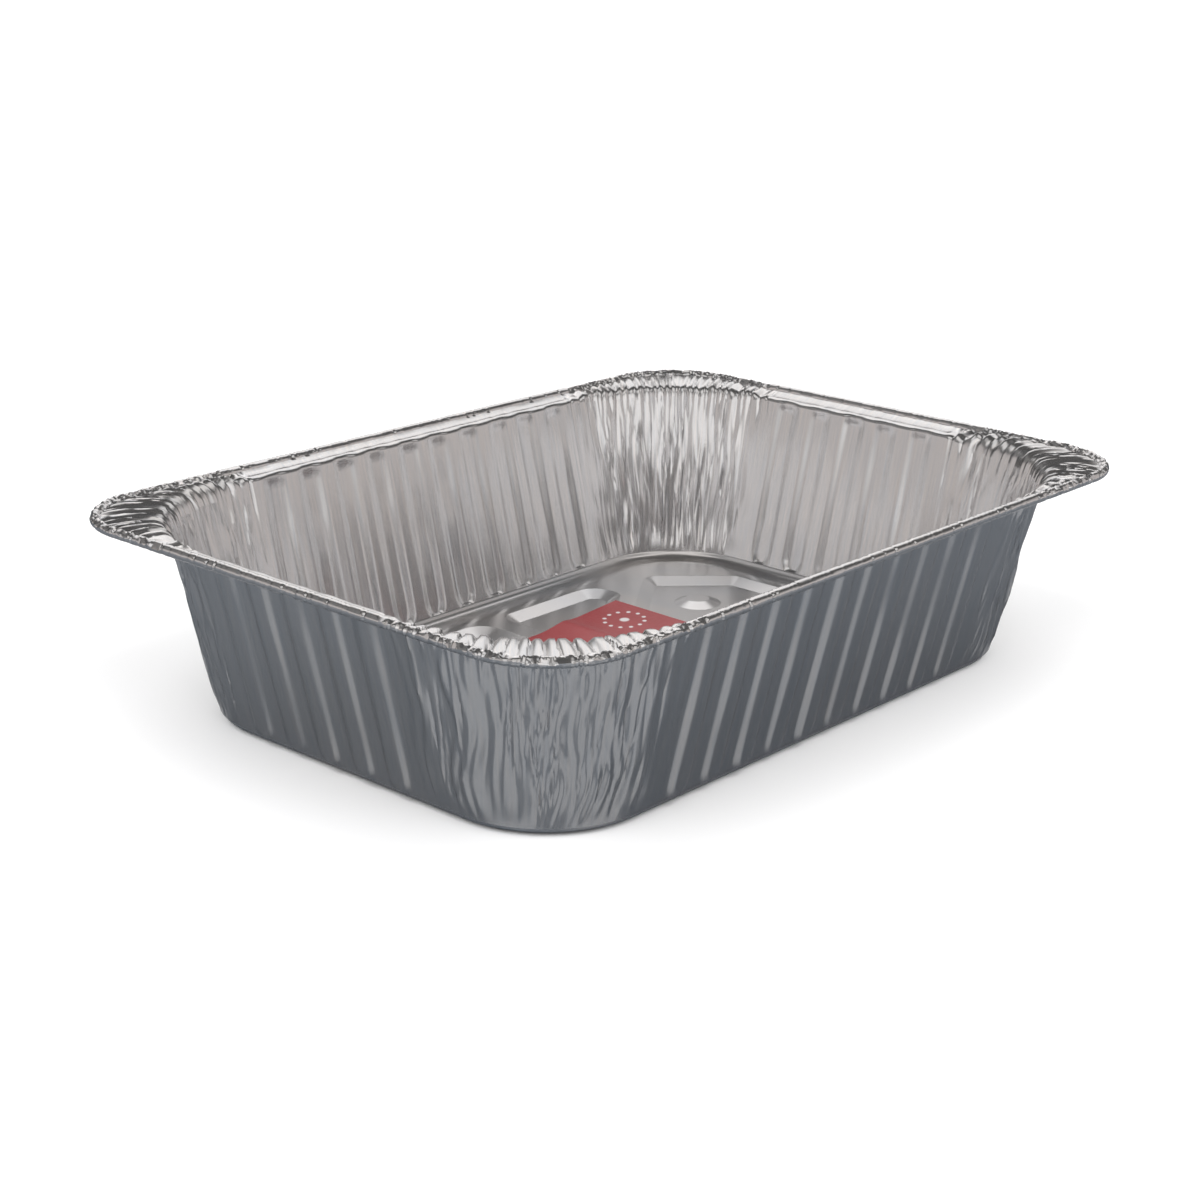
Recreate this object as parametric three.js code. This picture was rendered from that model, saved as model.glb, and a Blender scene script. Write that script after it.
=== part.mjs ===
// Foil roasting pan: one pressed aluminium foil sheet with a rolled rim, and a paper label on its floor.
// Millimetres, +Z up. The origin is the middle of the footprint, on the surface that the pan stands on.
import * as THREE from 'three';

// Foil gauge
const foilThickness = 0.2;

// Rolled rim: sizes over the outside of the roll, and the roll's own section
const rimLength = 432;
const rimWidth = 310;
const panHeight = 98.4;
const rimCornerRadius = 43;
const rollDiameter = 5.2;
const rollStartAngle = 180;
const rollEndAngle = -135;
const rollSegments = 7;

// Mouth: where the wall and the flange would meet if their shoulder were sharp
const mouthInsetX = 14.9;
const mouthInsetY = 12;
const mouthCornerRadius = 82;
const mouthDrop = 4.9;
const shoulderReach = 2.4;

// The flange stands higher where the corners gather, and its shoulder is wider there
const cornerFlangeRise = 2;
const cornerShoulderReach = 4.5;
const gatherShare = 0.2;

// Foot: where the wall and the floor would meet if their rounding were sharp
const footLength = 358.4;
const footWidth = 242.4;
const footCornerRadius = 52;

// Channel round the floor: a narrow ledge at the wall's foot, level with the valleys, the rounding from it
// down to the channel's bottom, and the slow rise from there to the floor
const ledgeRise = 0.8;
const ledgeWidth = 0.9;
const ledgeDrop = 0.3;
const channelDepth = 2.7;
const channelReach = 6;
const channelSegments = 2;
const riseSegments = 2;

// Flutes pressed into the straight walls, with a share of their depth left at the shoulder; the offsets are
// one crown's place on each side, anticlockwise from the side's middle, for the sides at +X, +Y, -X and -Y
const flutePitch = 22;
const fluteCrown = 8.25;
const fluteSlope = 2.75;
const fluteDepth = 1.6;
const fluteFade = 2.4;
const fluteTopShare = 0.55;
const crownOffsets = [10, 7.5, -10, 7.5];

// Pleats gathered at each corner: share of the way round it, and how far the wall swells out there
const cornerPleats = [
  { share: 0.05, swell: -0.3 },
  { share: 0.12, swell: 0.7 },
  { share: 0.20, swell: -0.6 },
  { share: 0.27, swell: 0.6 },
  { share: 0.34, swell: -0.8 },
  { share: 0.41, swell: 0.6 },
  { share: 0.48, swell: -0.7 },
  { share: 0.55, swell: 0.8 },
  { share: 0.62, swell: -0.6 },
  { share: 0.69, swell: 0.7 },
  { share: 0.77, swell: -0.8 },
  { share: 0.84, swell: 0.6 },
  { share: 0.91, swell: -0.4 },
];

// Floor pressing: sunken pads that the pan stands on, with ridges and round bosses between them
const padDepth = 3.5;
const padSlope = 8;
const padFloorRadius = 1.5;
const padCornerSegments = 2;
const floorMargin = 23.9;
const floorBorder = 3.5;
const endPadTipMargin = 32.9;
const endPadChamfer = 36;
const hubHalfLength = 40;
const hubHalfWidth = 34;
const ridgeWidth = 8;
const sidePadEndGap = 32;
const sidePadEndRadius = 13;
const crossRidgeOffset = 7;
const crossRidgeWidth = 12;
const bossSpread = 88;
const bossInset = 43.3;
const bossBaseDiameter = 26;
const bossTopDiameter = 11;
const bossHeight = 2.6;
const bossSides = 16;

// Paper label laid on the floor, with its right end curling up
const labelLength = 133;
const labelWidth = 125;
const labelThickness = 0.2;
const labelClearance = 0.3;
const labelCurlLength = 50;
const labelCurlHeight = 4.1;
const labelStepsX = 14;
const labelStepsY = 4;

// Levels of the middle of the foil
const padLevel = foilThickness / 2;
const floorLevel = padLevel + padDepth;
const flangeLevel = panHeight - mouthDrop;
const rollRadius = rollDiameter / 2;
const rollLevel = panHeight - rollRadius;

// Outlines in plan
const footOutline = {
  halfX: footLength / 2,
  halfY: footWidth / 2,
  radius: footCornerRadius,
};
const mouthOutline = {
  halfX: rimLength / 2 - mouthInsetX,
  halfY: rimWidth / 2 - mouthInsetY,
  radius: mouthCornerRadius,
};
const rimOutline = {
  halfX: rimLength / 2,
  halfY: rimWidth / 2,
  radius: rimCornerRadius,
};

// A thin sheet, kept as points and triangles of its middle surface, all facing up or into the pan
class Sheet {
  constructor() {
    this.points = [];
    this.triangles = [];
  }

  addPoint(x, y, z) {
    return this.points.push(new THREE.Vector3(x, y, z)) - 1;
  }

  addRing(points) {
    return points.map((point) => this.addPoint(point.x, point.y, point.z));
  }

  // The band between two closed rings that run anticlockwise
  addBand(inner, outer) {
    for (let i = 0; i < inner.length; i += 1) {
      const next = (i + 1) % inner.length;
      this.triangles.push([inner[i], outer[i], inner[next]]);
      this.triangles.push([inner[next], outer[i], outer[next]]);
    }
  }

  // A level patch inside one ring and around the others, made on the outline's bends alone
  addLevel(outline, holes = []) {
    const count = outline.length;
    const bends = outline.filter((point, i) => {
      return !this.liesBetween(outline[(i + count - 1) % count], point, outline[(i + 1) % count]);
    });
    const nextBend = new Map();
    let ahead = bends[0];
    for (const point of outline.toReversed()) {
      nextBend.set(point, ahead);
      if (bends.includes(point)) ahead = point;
    }
    const flat = (ring) => ring.map((i) => new THREE.Vector2(this.points[i].x, this.points[i].y));
    const faces = THREE.ShapeUtils.triangulateShape(flat(bends), holes.map(flat));
    const ids = [bends, ...holes].flat();
    for (const [a, b, c] of faces) {
      const face = [ids[a], ids[b], ids[c]];
      const facesUp = THREE.ShapeUtils.area(flat(face)) > 0;
      this.addSplit(facesUp ? face : face.reverse(), outline, nextBend);
    }
  }

  // A triangle, cut again at each point of the outline that an edge passes on its way to the next bend
  addSplit(face, outline, nextBend) {
    for (let corner = 0; corner < 3; corner += 1) {
      const [from, to, apex] = [0, 1, 2].map((i) => face[(corner + i) % 3]);
      const middle = outline[(outline.indexOf(from) + 1) % outline.length];
      if (nextBend.get(from) === to && middle !== to) {
        this.addSplit([from, middle, apex], outline, nextBend);
        this.addSplit([middle, to, apex], outline, nextBend);
        return;
      }
    }
    this.triangles.push(face);
  }

  liesBetween(from, middle, to) {
    const line = new THREE.Line3(this.points[from], this.points[to]);
    const nearest = line.closestPointToPoint(this.points[middle], true, new THREE.Vector3());
    return nearest.distanceTo(this.points[middle]) < straightLimit;
  }

  faceNormal([a, b, c]) {
    const triangle = new THREE.Triangle(this.points[a], this.points[b], this.points[c]);
    return triangle.getNormal(new THREE.Vector3());
  }

  // For each point, the step that moves every facet around it by one unit; level facets stay level
  offsetSteps() {
    const facets = this.points.map(() => []);
    for (const face of this.triangles) {
      const normal = this.faceNormal(face);
      face.forEach((i) => facets[i].push(normal));
    }
    return facets.map((normals) => {
      const mean = new THREE.Vector3();
      normals.forEach((normal) => mean.add(normal));
      mean.normalize();
      const step = solveStep(normals, mean);
      if (normals.some((normal) => normal.z > levelLimit)) step.z = 1;
      return step.clampLength(0, mitreLimit);
    });
  }

  // The closed solid with half of the thickness on each side of the middle surface
  thicken(thickness) {
    const steps = this.offsetSteps();
    const count = this.points.length;
    const side = (sign) => this.points.map((point, i) => {
      return point.clone().addScaledVector(steps[i], sign * thickness / 2);
    });
    const vertices = [...side(1), ...side(-1)];
    const index = [];
    const freeEdges = new Map();
    for (const [a, b, c] of this.triangles) {
      index.push(a, b, c, a + count, c + count, b + count);
      for (const [from, to] of [[a, b], [b, c], [c, a]]) {
        if (!freeEdges.delete(`${to} ${from}`)) freeEdges.set(`${from} ${to}`, [from, to]);
      }
    }
    for (const [from, to] of freeEdges.values()) {
      index.push(to, from, from + count, to, from + count, to + count);
    }
    const geometry = new THREE.BufferGeometry().setFromPoints(vertices);
    geometry.setIndex(index);
    geometry.computeVertexNormals();
    return geometry;
  }
}

// Limits of the sheet's own working: what counts as straight and as level, and how far a mitre may reach
const straightLimit = 1e-4;
const levelLimit = 0.99999;
const mitreLimit = 2;

// Least squares for a step whose part along each normal is one; the mean direction settles what is free
const settling = 1e-4;

function solveStep(normals, mean) {
  const sums = [0, 0, 0, 0, 0, 0, 0, 0, 0];
  const target = mean.clone().multiplyScalar(settling);
  for (const normal of normals) {
    const parts = normal.toArray();
    for (let row = 0; row < 3; row += 1) {
      for (let column = 0; column < 3; column += 1) sums[row * 3 + column] += parts[row] * parts[column];
    }
    target.add(normal);
  }
  for (let i = 0; i < 3; i += 1) sums[i * 4] += settling;
  return target.applyMatrix3(new THREE.Matrix3().set(...sums).invert());
}

// The two half sizes of a quarter's side: outward from the middle, and along the side
function sideAxes(quarter) {
  return quarter % 2 === 0 ? ['halfX', 'halfY'] : ['halfY', 'halfX'];
}

// Places of the crowns along a quarter's side, as many as its straight parts hold
function crownPlaces(quarter) {
  const [, alongAxis] = sideAxes(quarter);
  const straight = [footOutline, mouthOutline].map((outline) => outline[alongAxis] - outline.radius);
  const limit = Math.min(...straight) - fluteCrown / 2 - fluteSlope;
  const offset = crownOffsets[quarter % crownOffsets.length];
  const crowns = [];
  for (let step = Math.ceil((-limit - offset) / flutePitch); step * flutePitch + offset <= limit; step += 1) {
    crowns.push(step * flutePitch + offset);
  }
  return crowns;
}

// Places across one flute where its outline bends, from its crown's middle
const fluteBends = [
  { along: -fluteCrown / 2 - fluteSlope, swell: -fluteDepth / 2 },
  { along: -fluteCrown / 2, swell: fluteDepth / 2 },
  { along: fluteCrown / 2, swell: fluteDepth / 2 },
  { along: fluteCrown / 2 + fluteSlope, swell: -fluteDepth / 2 },
];

// A point of an outline with its outward direction, some way round from the middle of a quarter's side
function onOutline(outline, quarter, reach) {
  const [outAxis, alongAxis] = sideAxes(quarter);
  const radius = outline.radius;
  const straight = outline[alongAxis] - radius;
  const bend = THREE.MathUtils.clamp((reach - straight) / radius, 0, Math.PI / 2);
  const past = Math.max(reach - straight - radius * Math.PI / 2, 0);
  const out = outline[outAxis] - radius + radius * Math.cos(bend) - past;
  const along = Math.min(reach, straight) + radius * Math.sin(bend);
  const turn = quarter * Math.PI / 2;
  return {
    point: new THREE.Vector2(out, along).rotateAround(new THREE.Vector2(), turn),
    normal: new THREE.Vector2(Math.cos(bend + turn), Math.sin(bend + turn)),
  };
}

// Stations round the pan, anticlockwise: for each, its places on the three outlines and how far it swells
function makeStations() {
  const stations = [];
  const add = (quarter, reachOn, swell, gathered) => {
    const [foot, mouth, rim] = [footOutline, mouthOutline, rimOutline].map((outline) => {
      return onOutline(outline, quarter, reachOn(outline));
    });
    stations.push({ foot, mouth, rim, swell, gathered });
  };
  for (let quarter = 0; quarter < 4; quarter += 1) {
    const [outAxis, alongAxis] = sideAxes(quarter);
    const crowns = crownPlaces(quarter);
    for (const crown of crowns) {
      for (const { along, swell } of fluteBends) add(quarter, () => crown + along, swell, 0);
    }
    const cornerStart = crowns.at(-1) + flutePitch / 2;
    const [nextCrown] = crownPlaces(quarter + 1);
    const cornerEnd = ({ [alongAxis]: half, [outAxis]: nextHalf, radius }) => {
      return half - radius + radius * Math.PI / 2 + nextHalf - radius + nextCrown - flutePitch / 2;
    };
    for (const { share, swell } of cornerPleats) {
      const gathered = THREE.MathUtils.smoothstep(Math.min(share, 1 - share), 0, gatherShare);
      const reachOn = (outline) => THREE.MathUtils.lerp(cornerStart, cornerEnd(outline), share);
      add(quarter, reachOn, swell, gathered);
    }
  }
  return stations;
}

// The sheet's section at one station, from the floor's edge up the wall and over the rim
function section({ foot, mouth, rim, swell, gathered }) {
  const raise = (place, level) => new THREE.Vector3(place.point.x, place.point.y, level);
  const outward = (place) => new THREE.Vector3(place.normal.x, place.normal.y, 0);
  const mouthCorner = raise(mouth, flangeLevel);
  const wall = new THREE.Line3(raise(foot, floorLevel), mouthCorner);
  const onWall = (rise) => wall.at(rise / (flangeLevel - floorLevel), new THREE.Vector3());

  const valley = -fluteDepth / 2;
  const wallFoot = onWall(ledgeRise).addScaledVector(outward(foot), valley);
  const channel = [];
  const addChannelPoint = (inset, rise) => {
    const point = wallFoot.clone().addScaledVector(outward(foot), -inset);
    point.z = floorLevel + rise;
    channel.push(point);
  };
  for (let step = riseSegments; step > 0; step -= 1) {
    const share = step / riseSegments;
    const inset = THREE.MathUtils.lerp(channelReach, floorMargin - floorBorder, share);
    addChannelPoint(inset, channelDepth * (THREE.MathUtils.smoothstep(share, 0, 1) - 1));
  }
  for (let step = channelSegments; step >= 0; step -= 1) {
    const angle = Math.PI / 2 * step / channelSegments;
    const inset = THREE.MathUtils.lerp(channelReach, ledgeWidth, Math.cos(angle));
    addChannelPoint(inset, THREE.MathUtils.lerp(ledgeRise - ledgeDrop, -channelDepth, Math.sin(angle)));
  }
  const shoulderRun = THREE.MathUtils.lerp(shoulderReach, cornerShoulderReach, gathered);
  const shoulderDrop = shoulderRun * (flangeLevel - floorLevel) / wall.distance();
  const fluteFoot = onWall(ledgeRise + fluteFade).addScaledVector(outward(foot), swell);
  const topSwell = THREE.MathUtils.lerp(valley, swell, fluteTopShare);
  const wallTop = onWall(flangeLevel - floorLevel - shoulderDrop).addScaledVector(outward(mouth), topSwell);

  const roll = [];
  const sheetRadius = rollRadius - foilThickness / 2;
  const rollCentre = raise(rim, rollLevel).addScaledVector(outward(rim), -rollRadius);
  for (let step = 0; step <= rollSegments; step += 1) {
    const turn = THREE.MathUtils.lerp(rollStartAngle, rollEndAngle, step / rollSegments);
    const angle = THREE.MathUtils.degToRad(turn);
    const point = rollCentre.clone().addScaledVector(outward(rim), sheetRadius * Math.cos(angle));
    point.z += sheetRadius * Math.sin(angle);
    roll.push(point);
  }

  const flangeWidth = mouthCorner.distanceTo(roll[0]);
  const shoulderWidth = Math.min(shoulderRun, flangeWidth / 2);
  const shoulder = mouthCorner.clone().lerp(roll[0], shoulderWidth / flangeWidth);
  shoulder.z += cornerFlangeRise * gathered;
  return [...channel, wallFoot, fluteFoot, wallTop, shoulder, ...roll];
}

// A convex outline, anticlockwise, set in by some distance and rounded at its corners
function padOutline(corners, inset, level) {
  const count = corners.length;
  const turned = (vector) => new THREE.Vector2(-vector.y, vector.x);
  const edge = (i) => corners[(i + 1) % count].at.clone().sub(corners[i % count].at).normalize();
  const points = [];
  corners.forEach((corner, i) => {
    const into = edge(i + count - 1);
    const out = edge(i);
    const bend = Math.acos(into.dot(out));
    const inward = turned(into).add(turned(out)).normalize();
    const radius = Math.max(corner.radius, padFloorRadius + padSlope) - inset;
    const centreDepth = (inset + radius) / Math.cos(bend / 2);
    const centre = corner.at.clone().addScaledVector(inward, centreDepth);
    const firstAngle = into.angle() - Math.PI / 2;
    for (let step = 0; step <= padCornerSegments; step += 1) {
      const angle = firstAngle + bend * step / padCornerSegments;
      const x = centre.x + radius * Math.cos(angle);
      const y = centre.y + radius * Math.sin(angle);
      points.push(new THREE.Vector3(x, y, level));
    }
  });
  return points;
}

function circle(centre, diameter, level) {
  const points = [];
  for (let i = 0; i < bossSides; i += 1) {
    const angle = 2 * Math.PI * i / bossSides;
    const x = centre.x + diameter / 2 * Math.cos(angle);
    const y = centre.y + diameter / 2 * Math.sin(angle);
    points.push(new THREE.Vector3(x, y, level));
  }
  return points;
}

// The pads of one half of the floor; the other half is the same, turned half round
function padCorners() {
  const at = (x, y, radius = 0) => ({ at: new THREE.Vector2(x, y), radius });
  const outerX = footLength / 2 - floorMargin;
  const outerY = footWidth / 2 - floorMargin;
  const tipY = footWidth / 2 - endPadTipMargin;
  const tipX = outerX - endPadChamfer;
  const shoulderY = tipY - endPadChamfer;
  const endPad = [
    at(hubHalfLength, -hubHalfWidth),
    at(tipX, -tipY),
    at(outerX, -shoulderY),
    at(outerX, shoulderY),
    at(tipX, tipY),
    at(hubHalfLength, hubHalfWidth),
  ];

  // The side pads stop a ridge's width short of the line from the hub to the end pad's tip
  const slope = (tipY - hubHalfWidth) / (tipX - hubHalfLength);
  const rise = ridgeWidth * Math.hypot(1, slope);
  const ridgeY = (x) => hubHalfWidth + slope * (x - hubHalfLength) + rise;
  const ridgeX = (y) => hubHalfLength + (y - hubHalfWidth - rise) / slope;
  const endX = tipX - sidePadEndGap;
  const rightX = crossRidgeOffset + crossRidgeWidth / 2;
  const leftX = crossRidgeOffset - crossRidgeWidth / 2;
  const rightPad = [
    at(rightX, hubHalfWidth),
    at(ridgeX(hubHalfWidth), hubHalfWidth),
    at(endX, ridgeY(endX)),
    at(endX, outerY, sidePadEndRadius),
    at(rightX, outerY),
  ];
  const leftPad = [
    at(leftX, outerY, sidePadEndRadius),
    at(-endX, outerY),
    at(-endX, ridgeY(endX)),
    at(-ridgeX(hubHalfWidth), hubHalfWidth),
    at(leftX, hubHalfWidth),
  ];
  const bosses = [bossSpread / 2, -bossSpread / 2].map((y) => new THREE.Vector2(outerX - bossInset, y));
  return [
    { corners: endPad, bosses },
    { corners: rightPad, bosses: [] },
    { corners: leftPad, bosses: [] },
  ];
}

function halfTurned(pad) {
  const turned = (point) => point.clone().negate();
  return {
    corners: pad.corners.map((corner) => ({ at: turned(corner.at), radius: corner.radius })),
    bosses: pad.bosses.map(turned),
  };
}

// One pad with its slope and bosses; returns the ring where it leaves the level floor
function addPad(sheet, { corners, bosses }) {
  const upper = sheet.addRing(padOutline(corners, 0, floorLevel));
  const lower = sheet.addRing(padOutline(corners, padSlope, padLevel));
  const bossFeet = bosses.map((centre) => {
    const base = sheet.addRing(circle(centre, bossBaseDiameter, padLevel));
    const top = sheet.addRing(circle(centre, bossTopDiameter, padLevel + bossHeight));
    sheet.addBand(top, base);
    sheet.addLevel(top);
    return base;
  });
  sheet.addBand(lower, upper);
  sheet.addLevel(lower, bossFeet);
  return upper;
}

function foilPan() {
  const sheet = new Sheet();
  const sections = makeStations().map(section);
  const rings = sections[0].map((_, row) => sheet.addRing(sections.map((points) => points[row])));
  for (let row = 1; row < rings.length; row += 1) sheet.addBand(rings[row - 1], rings[row]);
  const half = padCorners();
  const pads = [...half, ...half.map(halfTurned)];
  sheet.addLevel(rings[0], pads.map((pad) => addPad(sheet, pad)));
  return sheet.thicken(foilThickness);
}

// The label lies flat and then curls up along a parabola towards its right end
function paperLabel() {
  const sheet = new Sheet();
  const lyingLevel = floorLevel + foilThickness / 2 + labelClearance + labelThickness / 2;
  const curlStart = labelLength / 2 - labelCurlLength;
  const grid = [];
  for (let row = 0; row <= labelStepsY; row += 1) {
    const y = labelWidth * (row / labelStepsY - 0.5);
    const ids = [];
    for (let column = 0; column <= labelStepsX; column += 1) {
      const x = labelLength * (column / labelStepsX - 0.5);
      const lift = Math.max(x - curlStart, 0) / labelCurlLength;
      ids.push(sheet.addPoint(x, y, lyingLevel + labelCurlHeight * lift * lift));
    }
    grid.push(ids);
  }
  for (let row = 0; row < labelStepsY; row += 1) {
    for (let column = 0; column < labelStepsX; column += 1) {
      const [a, b] = [grid[row][column], grid[row][column + 1]];
      const [d, c] = [grid[row + 1][column], grid[row + 1][column + 1]];
      sheet.triangles.push([a, b, c], [a, c, d]);
    }
  }
  return sheet.thicken(labelThickness);
}

const foilFinish = new THREE.MeshStandardMaterial({ color: 0xb4b7ba, roughness: 0.3, metalness: 1 });
const paperFinish = new THREE.MeshStandardMaterial({ color: 0xb5373b, roughness: 0.6, metalness: 0 });

function part(name, geometry, material) {
  const mesh = new THREE.Mesh(geometry, material);
  mesh.name = name;
  return mesh;
}

const roastingPan = new THREE.Group();
roastingPan.add(part('foil_pan', foilPan(), foilFinish));
roastingPan.add(part('paper_label', paperLabel(), paperFinish));

export default roastingPan;
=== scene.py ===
import math
import bpy
import numpy as np
from mathutils import Matrix, Vector


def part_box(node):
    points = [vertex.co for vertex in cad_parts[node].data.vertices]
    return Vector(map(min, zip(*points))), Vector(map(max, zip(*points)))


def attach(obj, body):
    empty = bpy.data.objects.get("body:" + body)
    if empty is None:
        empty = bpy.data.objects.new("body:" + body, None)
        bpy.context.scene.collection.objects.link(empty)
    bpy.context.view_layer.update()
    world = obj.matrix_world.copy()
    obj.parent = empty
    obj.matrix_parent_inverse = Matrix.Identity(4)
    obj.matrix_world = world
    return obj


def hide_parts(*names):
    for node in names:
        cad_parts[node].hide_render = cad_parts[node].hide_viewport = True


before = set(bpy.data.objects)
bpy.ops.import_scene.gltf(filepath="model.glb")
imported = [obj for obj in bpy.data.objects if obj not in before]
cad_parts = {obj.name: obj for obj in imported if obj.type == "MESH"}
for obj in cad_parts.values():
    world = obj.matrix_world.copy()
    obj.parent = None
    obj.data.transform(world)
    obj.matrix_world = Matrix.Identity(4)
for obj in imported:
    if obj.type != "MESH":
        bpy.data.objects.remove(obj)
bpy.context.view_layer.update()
mm = 0.001  # lengths below are in millimetres until a mesh is set
panHigh = np.array(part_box("foil_pan")[1]) / mm
labelLow, labelHigh = (np.array(corner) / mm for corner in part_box("paper_label"))
print("frame loaded, pan reaches", panHigh.round(2))


# the pressed form that floor, wall and rim share
panForm = {
    "gauge": 0.2,
    "creaseAngle": 38.0,  # degrees past which a fold stays sharp
    "seamGap": 0.0001,
    "rimCornerRadius": 43.0,
    "rollDiameter": 5.2,
    "mouthInset": (14.9, 12.0),
    "mouthCornerRadius": 82.0,
    "mouthDrop": 4.9,
    "footHalf": (179.2, 121.2),
    "footCornerRadius": 52.0,
    "padDepth": 3.5,
    "ledgeRise": 0.8,
    "shoulder": 1.5,
    "cornerShoulders": (3.4, 6.0, 5.0, 6.0),  # far, left, near and right corner
    "cornerRun": 140.0,  # about how far it is round one corner
    "gatherRun": 30.0,  # how far into a corner the foil is fully gathered
}
flutes = {
    "pitch": 22.0,
    "crown": 8.25,
    "slope": 2.75,
    "depth": 1.6,
    "starts": (-45.0, -113.5, -65.0, -113.5),  # sides at +X, +Y, -X and -Y
    "counts": (5, 10),  # short sides, long sides
    "columnsEach": 24,
    "cornerColumns": 220,
}
rimOutline = (panHigh[0], panHigh[1], panForm["rimCornerRadius"])
mouthOutline = (
    panHigh[0] - panForm["mouthInset"][0],
    panHigh[1] - panForm["mouthInset"][1],
    panForm["mouthCornerRadius"],
)
footOutline = (*panForm["footHalf"], panForm["footCornerRadius"])
padLevel = panForm["gauge"] / 2
floorLevel = padLevel + panForm["padDepth"]
flangeLevel = panHigh[2] - panForm["mouthDrop"]
rollRadius = panForm["rollDiameter"] / 2
rollLevel = panHigh[2] - rollRadius
ledgeLevel = floorLevel + panForm["ledgeRise"]
upward = np.array([0, 0, 1.0])


def walkOutline(halfX, halfY, radius):  # points and outward directions at every column
    places, outward = [], []
    for side in range(4):
        out, along = (halfX, halfY) if side % 2 == 0 else (halfY, halfX)
        straight, arc = along - radius, radius * math.pi / 2
        start, count = flutes["starts"][side], flutes["counts"][side % 2]
        end = start + count * flutes["pitch"]
        turnEnd = straight + arc + out - radius + flutes["starts"][(side + 1) % 4]
        reach = np.concatenate([
            np.linspace(start, end, count * flutes["columnsEach"], endpoint=False),
            np.linspace(end, turnEnd, flutes["cornerColumns"], endpoint=False),
        ])
        bend = np.clip((reach - straight) / radius, 0, math.pi / 2)
        past = np.maximum(reach - straight - arc, 0)
        away = out - radius + radius * np.cos(bend) - past
        beside = np.minimum(reach, straight) + radius * np.sin(bend)
        turn = side * math.pi / 2
        cosTurn, sinTurn = math.cos(turn), math.sin(turn)
        places.append(np.stack([away * cosTurn - beside * sinTurn, away * sinTurn + beside * cosTurn], 1))
        outward.append(np.stack([np.cos(bend + turn), np.sin(bend + turn)], 1))
    return np.concatenate(places), np.concatenate(outward)


def layColumns():  # place on its flute, flute number, corner number and corner share of each column
    local, flute, corner, share = [], [], [], []
    number = 0
    for side in range(4):
        each, count = flutes["columnsEach"], flutes["counts"][side % 2]
        step = np.arange(count * each)
        local.append((step % each) * flutes["pitch"] / each - flutes["pitch"] / 2)
        flute.append(number + step // each)
        corner.append(np.full(len(step), -1))
        share.append(np.zeros(len(step)))
        number += count
        bends = flutes["cornerColumns"]
        local.append(np.full(bends, -flutes["pitch"] / 2))
        flute.append(np.full(bends, -1))
        corner.append(np.full(bends, side))
        share.append(np.arange(bends) / bends)
    return (np.concatenate(part) for part in (local, flute, corner, share))


footPlan, footOut = walkOutline(*footOutline)
mouthPlan, mouthOut = walkOutline(*mouthOutline)
rimPlan, rimOut = walkOutline(*rimOutline)
fluteLocal, fluteNumber, cornerNumber, cornerShare = layColumns()
columnCount = len(fluteLocal)
inCorner = cornerNumber >= 0


def runLength(plan):  # distance round the pan at every column, and all the way round
    steps = np.linalg.norm(np.roll(plan, -1, 0) - plan, axis=1)
    return np.concatenate([[0], np.cumsum(steps)[:-1]]), steps.sum()


mouthRun, mouthRound = runLength(mouthPlan)
rimRun, rimRound = runLength(rimPlan)


def smooth(value):
    value = np.clip(value, 0, 1)
    return value * value * (3 - 2 * value)


def cornerDepth(run):  # 0 at a corner's two ends, 1 once that far into it
    edge = np.minimum(cornerShare, 1 - cornerShare) * panForm["cornerRun"]
    return np.where(inCorner, smooth(edge / run), 0)


def unit(vectors):
    return vectors / np.linalg.norm(vectors, axis=-1, keepdims=True)


def atLevel(plan, level):  # a point or direction in plan at every column, with its height
    return np.concatenate([plan, np.full((columnCount, 1), level)], 1)


# planks that the gathered foil makes on the corner flange, and the creases below their slots
planks = {
    "seed": 11,
    "counts": (30, 30, 24, 30),  # far, left, near and right corner, here and below
    "spread": (0.65, 1.35),
    "crowding": 0.5,  # how much narrower the planks are in the corner's middle
    "level": 0.3,
    "heights": ((1.4, 2.8), (2.1, 3.7), (1.6, 3.0), (2.1, 3.7)),
    "seats": (0.6, 0.6, 1.35, 0.6),  # how far below the flange each plank starts, of its height
    "steepness": (1.0, 1.0, 1.7, 1.0),  # above 1, a plank's sides end at a flat top
    "leans": ((0.05, 0.25), (0.0, 0.15), (0.2, 0.38), (0.0, 0.15)),
    "fan": 0.15,  # how much wider the planks stand at the roll, in the corner's middle
    "endRun": 12.0,  # how far into a corner they reach their height
    "creaseDepth": (0.3, 0.9),
    "creaseHalf": (0.9, 1.6),
    "creaseRun": (6.0, 75.0),
    "creaseSway": 0.012,  # of the way round a corner
}


def drawPlanks():  # per corner: edges as shares of the way round, levels, heights and where each peaks
    draw = np.random.default_rng(planks["seed"])
    drawn = []
    for count, height, lean in zip(planks["counts"], planks["heights"], planks["leans"]):
        widths = draw.uniform(*planks["spread"], count)
        widths *= 1 - planks["crowding"] * (1 - np.abs(np.linspace(-1, 1, count)))
        edges = np.concatenate([[0], np.cumsum(widths) / widths.sum()])
        level = draw.uniform(-1, 1, count) * planks["level"]
        tops = draw.uniform(*height, count) * np.minimum(widths / widths.mean(), 1)
        peak = 0.5 + draw.uniform(*lean, count) * np.sign(draw.uniform(-1, 1, count))
        drawn.append((edges, level, tops, peak))
    return drawn


plankDraws = drawPlanks()


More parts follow.
